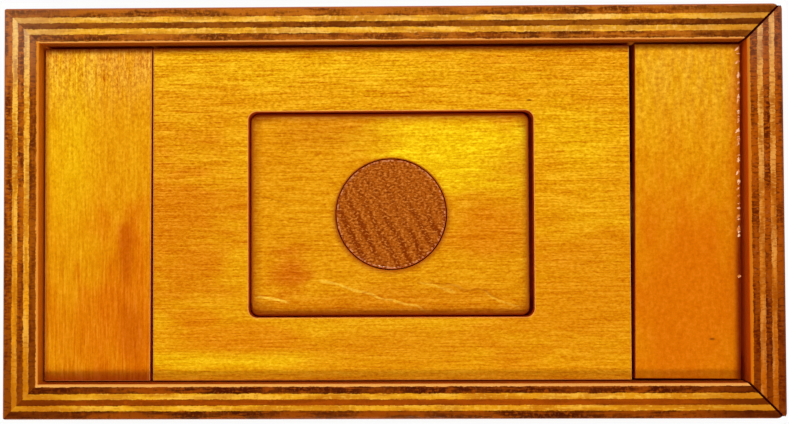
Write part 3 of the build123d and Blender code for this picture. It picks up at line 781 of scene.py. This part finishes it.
# %% [markdown]
# ## The turning disc
#
# The disc is a slice of a thick dowel with its end grain up. End grain drinks far more stain than
# the plate beside it, so it is dark red-brown, with its growth rings crossing it at a slant. The
# cut ends of the pores stay open under the varnish and break its reflection into small glints, and
# a pale coat on some pores adds painted glints. A pale coat on the rounded rim is a painted
# highlight, and the upright side is painted bright orange, painted light in the gap round the disc.
# The rings are a wave pattern across a turned copy of the coordinates, and the pores a fine noise
# over it.

# %% Stained end grain
RING_GAP = 3.206  # millimetres from one growth ring to the next
RING_SLANT = math.radians(63)
WAVES = math.tau / 20  # a wave texture at this scale repeats once in each unit of length


def stained_end_grain(name, seed):
    """Dowel end grain, its rings running steeply down to the right."""
    tree, mm = new_material(name)
    turn = {"Vector": mm, "Angle": RING_SLANT}
    across = add(tree, "ShaderNodeVectorRotate", turn, rotation_type="Z_AXIS").outputs[0]
    bands = {
        "Vector": across, "Scale": WAVES / RING_GAP, "Distortion": 3.5,
        "Detail": 2.0, "Detail Scale": 1.0,
    }
    rings = add(tree, "ShaderNodeTexWave", bands, wave_type="BANDS", bands_direction="Y").outputs["Fac"]
    clear = share(tree, grain(tree, across, "X", 8, 14, seed + 4, 1), 0.35, 0.6, 1.0, 0.4)
    front = add(tree, "ShaderNodeSeparateXYZ", {0: mm}).outputs["Y"]
    clear = both(tree, clear, share(tree, front, 11, -5, 1.0, 0.3))
    pores = grain(tree, mm, "X", 0.46, 0.7, seed + 2, 1)
    level = facing(tree)["Z"]
    # A pale coat on the rounded rim: painted highlight.
    rim_painted_highlight = both(tree, share(tree, level, 0.99, 0.9, 0.7), share(tree, pores, 0.52, 0.42))
    wood = coats(tree, "#B2580E", [
        (both(tree, share(tree, rings, 0.3, 0.95), clear), "#8A3200"),
        (share(tree, pores, 0.5, 0.68, 0.8), "#7A2A02"),
        # Pale pores: painted glints.
        (share(tree, pores, 0.48, 0.30, 0.75), "#DE8634"),
        (rim_painted_highlight, "#E2A070"),
        # The upright side in bright orange: painted light in the gap round the disc.
        (share(tree, level, 0.7, 0.35), "#F06414"),
    ])
    varnish(tree, mm, wood, pores, 0.2, seed, 1.2)


stained_end_grain("stained_dowel_end_grain", 5.0)
cover(["disc"], "stained_dowel_end_grain")
disc_width = (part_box("disc")[1].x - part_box("disc")[0].x) / MM
print("growth rings across the disc:", round(disc_width / RING_GAP))

# %% [markdown]
# ## Wood inside
#
# Panels and drawer are pale birch, sanded and left bare, and the small sliding parts are beech,
# which is harder and wears better, rubbed with a little wax. Only the rails and the carrier right
# under the lid are dark: the stain ran through the joints and soaked them, and their dark red is
# also painted shade, so that every joint in the lid looks almost black. Under the two joints that
# stand open, beside the loose slat and beside the plate, a near-black band is painted shade.
# Rubbing has left paler streaks along the grain of them all. One function makes all seven woods
# from four shades, a grain direction and a roughness.

# %% Bare birch, soaked birch and waxed beech
BIRCH = ("#D9B27C", "#CDA069", "#B98750", "#E6C899")
# The soaked rails' dark red is stain and also painted shade for the joints above them.
SOAKED_AND_SHADED = ("#902604", "#7C1C02", "#581000", "#A03208")
BEECH = ("#C08A58", "#B1744A", "#965A30", "#D2A274")
# The middle of each open joint along X, and the most of the painted shade under it.
SHADED_OPEN_JOINTS = (
    (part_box("right_slat")[0].x / MM - 0.5, 1.0),
    (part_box("window_plate")[1].x / MM + 0.5, 0.7),
)
INSIDE = (
    ("bare_birch_lengthwise", "X", BIRCH, 0.65,
     ("base_panel", "drawer_bottom", "drawer_front_side", "drawer_back_side")),
    ("bare_birch_crosswise", "Y", BIRCH, 0.65, ("drawer_rear",)),
    ("soaked_birch_lengthwise", "X", SOAKED_AND_SHADED, 0.95,
     ("deck", "front_rail", "back_rail", "plate_carrier")),
    ("soaked_birch_crosswise", "Y", SOAKED_AND_SHADED, 0.95,
     ("left_end_rail", "left_cross_rail", "right_cross_rail")),
    ("waxed_beech_lengthwise", "X", BEECH, 0.45,
     ("cam_plate", "keeper_bar", "keeper_guide", "slat_lug", "drawer_keep")),
    ("waxed_beech_crosswise", "Y", BEECH, 0.45,
     ("lock_bolt", "bolt_guide_left", "bolt_guide_right", "bolt_catch")),
    ("waxed_beech_dowel", "Z", BEECH, 0.4, ("spindle", "keeper_pin", "bolt_peg")),
)


def open_joint_shade(tree, mm):
    """Rises to its most under each open joint, and falls to nought three millimetres beside it."""
    place = add(tree, "ShaderNodeSeparateXYZ", {0: mm}).outputs["X"]
    under = 0.0
    for joint, most in SHADED_OPEN_JOINTS:
        soak = share(tree, beside(tree, place, joint), 3.0, 1.8, most)
        under = add(tree, "ShaderNodeMath", {0: under, 1: soak}, operation="ADD").outputs[0]
    return under


def plain_wood(name, axis, shades, roughness, seed):
    """Unvarnished wood: ground, darker cloud, dark fibres and pale rubbed streaks."""
    tree, mm = new_material(name)
    fibre = grain(tree, mm, axis, 0.5, 9, seed + 1)
    layers = [
        (share(tree, grain(tree, mm, axis, 4, 40, seed, 3, 0.6), 0.35, 0.65), shades[1]),
        (share(tree, fibre, 0.5, 0.75, 0.6), shades[2]),
        (share(tree, grain(tree, mm, axis, 0.8, 60, seed + 2, 1), 0.66, 0.8, 0.35), shades[3]),
    ]
    if shades == SOAKED_AND_SHADED:
        # Painted shade under the open joints.
        layers.append((open_joint_shade(tree, mm), "#3A0600"))
    bump = add(tree, "ShaderNodeBump", {"Height": fibre, "Strength": 1.0, "Distance": 0.04 * MM})
    rubbed = share(tree, grain(tree, mm, axis, 3, 20, seed + 3), 0.35, 0.7, roughness - 0.12, roughness)
    surface = {"Base Color": coats(tree, shades[0], layers), "Roughness": rubbed}
    surface["Specular IOR Level"] = 0.05 if shades == SOAKED_AND_SHADED else 0.3
    surface["Normal"] = bump.outputs[0]
    shader = add(tree, "ShaderNodeBsdfPrincipled", surface)
    add(tree, "ShaderNodeOutputMaterial", {"Surface": shader.outputs[0]})


for seed, (name, axis, shades, roughness, nodes) in enumerate(INSIDE, start=21):
    plain_wood(name, axis, shades, roughness, float(seed))
    cover(nodes, name)
    print(name, "on", len(nodes), "pieces")

# %% [markdown]
# ## Torn fibres on the loose slat
#
# The right slat has been pulled out so often that its right arris is torn. Small chips of wood
# stand up from it, pale where the varnish has come off. Each is a thin ragged sliver that lies
# along the arris, so it is built point by point: a crest in the middle, a foot to either side, and
# some with a tail that runs in over the board. The larger ones sit in the back half, where a
# finger lifts the slat, and fine strays are scattered between them. They rise a tenth of a
# millimetre and reach out a fifth, well inside the gap to the end wall.

# %% Torn fibres
# Each tear: its middle along Y, its length, and how far its tail runs in over the board.
TEARS = (
    (39.5, 1.1, 0.9), (36.3, 1.0, 0.7), (33.1, 1.5, 0.1), (31.2, 0.9, 0.2), (29.7, 0.5, 0.1),
    (27.2, 2.4, 0.25), (26.6, 0.9, 0.4), (23.8, 0.4, 0.1), (19.5, 1.2, 0.7), (16.1, 0.8, 0.35),
    (12.7, 0.7, 0.1), (9.3, 1.3, 0.6), (6.9, 1.2, 0.1), (5.3, 0.8, 0.5), (1.7, 0.3, 0.1),
    (-1.5, 0.8, 0.5), (-4.4, 1.3, 0.45), (-6.1, 0.7, 0.15), (-16.0, 0.8, 0.1),
)
STRAYS = 24
STEPS = 6  # along each sliver
INSET = 0.3  # from the arris in to the middle of a sliver


def torn_fibres():
    """One ragged sliver for each tear and fine ones scattered between, in one mesh."""
    chance = random.Random(7)
    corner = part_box("right_slat")[1] / MM
    strays = [(chance.uniform(-8, 39.5), chance.uniform(0.25, 0.9), 0.15) for _ in range(STRAYS)]
    points, faces = [], []
    for middle, length, tail in [*TEARS, *strays]:
        first = len(points)
        for step in range(STEPS + 1):
            part = step / STEPS
            y = middle + length * (0.5 - part) + chance.uniform(-0.04, 0.04)
            x = corner.x - SLAT_LEAN * (corner.y - y) - INSET - tail * part ** 1.5
            half = (0.12 + 0.3 * math.sin(math.pi * part)) * chance.uniform(0.6, 1.2)
            crest = corner.z + 0.05 + 0.06 * math.sin(math.pi * part)
            points += [(x - half, y, corner.z), (x, y, crest), (x + half, y, corner.z - 0.1)]
        for here in range(first, first + 3 * STEPS, 3):
            there = here + 3
            faces += [(here, there, there + 1, here + 1), (here + 1, there + 1, there + 2, here + 2)]
            faces.append((here + 2, there + 2, there, here))
        last = first + 3 * STEPS
        faces += [(first, first + 1, first + 2), (last, last + 2, last + 1)]
    return sheet("torn_fibres", points, faces, "chipped_bare_wood")


def chipped_wood(name, seed):
    """Bare wood where the varnish has chipped off, some chips still stained."""
    tree, mm = new_material(name)
    chips = grain(tree, mm, "Y", 0.8, 1.2, seed)
    fibre = grain(tree, mm, "Y", 0.12, 0.8, seed + 1)
    wood = coats(tree, "#FFCE9C", [
        (share(tree, chips, 0.46, 0.56, 0.95), "#E0822E"),
        (share(tree, fibre, 0.58, 0.75, 0.4), "#C06A28"),
    ])
    varnish(tree, mm, wood, fibre, 0.05, seed, 0.5)


chipped_wood("chipped_bare_wood", 31.0)
tears = torn_fibres()
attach(tears, "slat")
print("torn fibres:", len(tears.data.polygons), "faces")

# %% [markdown]
# ## White paper floor
#
# The box stands on white paper. A lit sheet would come out grey and take the box's shade, so the
# eye sees it as pure white instead, while it still throws back light on the box as paper does. The
# one place that stays dark is deep in a slit, where no light gets, and there the paper is its
# plain self. How much sky a place sees tells the two apart.

# %% Paper
FLOOR = 1200.0  # half its side, in millimetres
DEEP_SKY, OPEN_SKY = 0.22, 0.46  # share of sky in a dark slit, and where the paper is white


def eye_rays(tree):
    """One for rays that carry what the eye sees, straight or mirrored, nought for soft light."""
    rays = add(tree, "ShaderNodeLightPath").outputs
    sides = {0: rays["Is Camera Ray"], 1: rays["Is Glossy Ray"]}
    seen = add(tree, "ShaderNodeMath", sides, operation="MAXIMUM").outputs[0]
    sides = {0: seen, 1: rays["Is Transmission Ray"]}
    return add(tree, "ShaderNodeMath", sides, operation="MAXIMUM").outputs[0]


def white_paper():
    """Paper that the eye sees as pure white, except deep in a slit."""
    tree = new_material("white_paper")[0]
    paper = add(tree, "ShaderNodeBsdfDiffuse", {"Color": colour("#F4F4F2")})
    white = add(tree, "ShaderNodeEmission", {"Color": (1, 1, 1, 1), "Strength": 1.0})
    sky = add(tree, "ShaderNodeAmbientOcclusion", {"Distance": 30 * MM}, samples=8).outputs["AO"]
    glow = both(tree, eye_rays(tree), share(tree, sky, DEEP_SKY, OPEN_SKY, 0.93))
    mix = add(tree, "ShaderNodeMixShader", {0: glow, 1: paper.outputs[0], 2: white.outputs[0]})
    add(tree, "ShaderNodeOutputMaterial", {"Surface": mix.outputs[0]})


white_paper()
corners = [(-FLOOR, -FLOOR, 0), (FLOOR, -FLOOR, 0), (FLOOR, FLOOR, 0), (-FLOOR, FLOOR, 0)]
floor = sheet("floor", corners, [(0, 1, 2, 3)], "white_paper")
print("paper:", 2 * FLOOR * MM, "m square")

# %% [markdown]
# ## Shade in the open mitres
#
# The drawer stands a little ajar, so two slits stand open at its mitres. Light would come up
# through their outer tips from the white floor, where a real slit so narrow is dark. A dark strip,
# painted shade, lies across each tip, just below the rim. It is no part of the object, so like the
# floor it rides on no piece, and stays behind when the drawer moves.

# %% Dark strips
SLIT = 0.7  # across the slit, along X
STRIP_REACH = 5.0  # from the tip in along the mitre, along X and Y alike
STRIP_DROP = 0.5  # below the rim
STRIP_CUT = 0.53  # from the outer face in to the strip's end


def slit_shade():
    """A dark strip of painted shade under the outer tip of both open mitres."""
    tree = new_material("deep_shade")[0]
    dark = add(tree, "ShaderNodeBsdfDiffuse", {"Color": colour("#300600")})
    add(tree, "ShaderNodeOutputMaterial", {"Surface": dark.outputs[0]})
    tip, top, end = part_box("back_wall")[1].x / MM, HIGH.z - STRIP_DROP, HIGH.y - STRIP_CUT
    points = []
    for side in (-1, 1):
        for x, y in ((tip, end), (tip + SLIT, end)):
            points += [(x, side * y, top)]
        for x in (tip + SLIT, tip):
            points += [(x - STRIP_REACH, side * (end - STRIP_REACH), top)]
    return sheet("slit_shade", points, [(0, 1, 2, 3), (4, 5, 6, 7)], "deep_shade")


slit_shade()
print("strips", STRIP_DROP, "mm below the rim")

# %% [markdown]
# ## Lamps
#
# The main light is a long softbox almost overhead, leaning a little to the back: it makes the
# narrow shade along the back of the lid and the soft sheen on the far ends of the boards. A small
# lamp in front puts the crisp shade along the front of the lid. Two weak fills open up the sides.
# Together they light the lid at a plain level, so that a colour comes out about as it is written
# above.

# %% Lamps
# Each lamp: its place in metres, its length and width, and its power in watts.
LAMPS = {
    "long_overhead_softbox": ((-0.08, 0.47, 0.94), (1.4, 0.2), 7.4),
    "front_lamp": ((-0.04, -0.705, 0.87), (0.17, 0.17), 5.0),
    "left_fill": ((-0.80, 0.05, 0.50), (0.4, 0.4), 0.3),
    "right_fill": ((0.80, 0.05, 0.50), (0.4, 0.4), 1.1),
}


def softbox(name, place, size, power):
    """An oblong lamp at that place, facing the middle of the lid."""
    lamp = bpy.data.lights.new(name, "AREA")
    lamp.shape = "RECTANGLE"
    lamp.size, lamp.size_y = size
    lamp.energy = power
    stand = set_out(name, lamp)
    stand.location = place
    aim = Vector((0, 0, cad_box[1].z)) - Vector(place)
    stand.rotation_euler = aim.to_track_quat("-Z", "Y").to_euler()


for name, facts in LAMPS.items():
    softbox(name, *facts)
print("lamps:", ", ".join(LAMPS))

# %% [markdown]
# ## A white room, dim overhead
#
# Gloss mirrors the room. A room that is white all over would lie on the level lid as a grey veil,
# so the air is white near the horizon and dim above, which leaves the lid's colours clear and
# still lights up the rounded arrises. As soft light the room counts for less than half.

# %% White room
ROOM_LIGHT = 0.4


def white_room():
    """White near the horizon and dim above, so that the gloss doesn't veil the lid."""
    world = bpy.data.worlds.new("white_room_dim_above")
    bpy.context.scene.world = world
    world.use_nodes = True
    tree = world.node_tree
    tree.nodes.clear()
    way = add(tree, "ShaderNodeTexCoord").outputs["Generated"]
    rise = add(tree, "ShaderNodeSeparateXYZ", {0: way}).outputs["Z"]
    air = coats(tree, "#FFFFFF", [(share(tree, rise, 0.35, 0.75), "#303030")])
    soft = add(tree, "ShaderNodeBackground", {"Color": air, "Strength": ROOM_LIGHT})
    white = add(tree, "ShaderNodeBackground", {"Color": air, "Strength": 1.0})
    mix = add(tree, "ShaderNodeMixShader", {0: eye_rays(tree), 1: soft.outputs[0], 2: white.outputs[0]})
    add(tree, "ShaderNodeOutputWorld", {"Surface": mix.outputs[0]})


white_room()
print("room light:", ROOM_LIGHT)

# %% [markdown]
# ## Camera
#
# The box is looked at from right above, from about thirty centimetres. That near, perspective
# shows: the inner faces of the walls come into view all round. The camera is a degree or two out
# of plumb, as one held by hand is.

# %% Camera
CAMERA_FOOT = (6.13, -9.09)  # millimetres
CAMERA_RISE = 312.9
CAMERA_TILT = (0.02863, 0.01774, -0.00402)  # radians
LENS, SENSOR = 59.13, 36.0
camera = bpy.data.cameras.new("overhead_camera")
camera.sensor_width = SENSOR
camera.lens = LENS
camera.clip_start = 0.01
holder = set_out("overhead_camera", camera)
holder.location = (CAMERA_FOOT[0] * MM, CAMERA_FOOT[1] * MM, cad_box[1].z + CAMERA_RISE * MM)
holder.rotation_euler = CAMERA_TILT
bpy.context.scene.camera = holder
bpy.context.scene.view_settings.view_transform = "Standard"
print("camera", CAMERA_RISE, "mm above the rim")
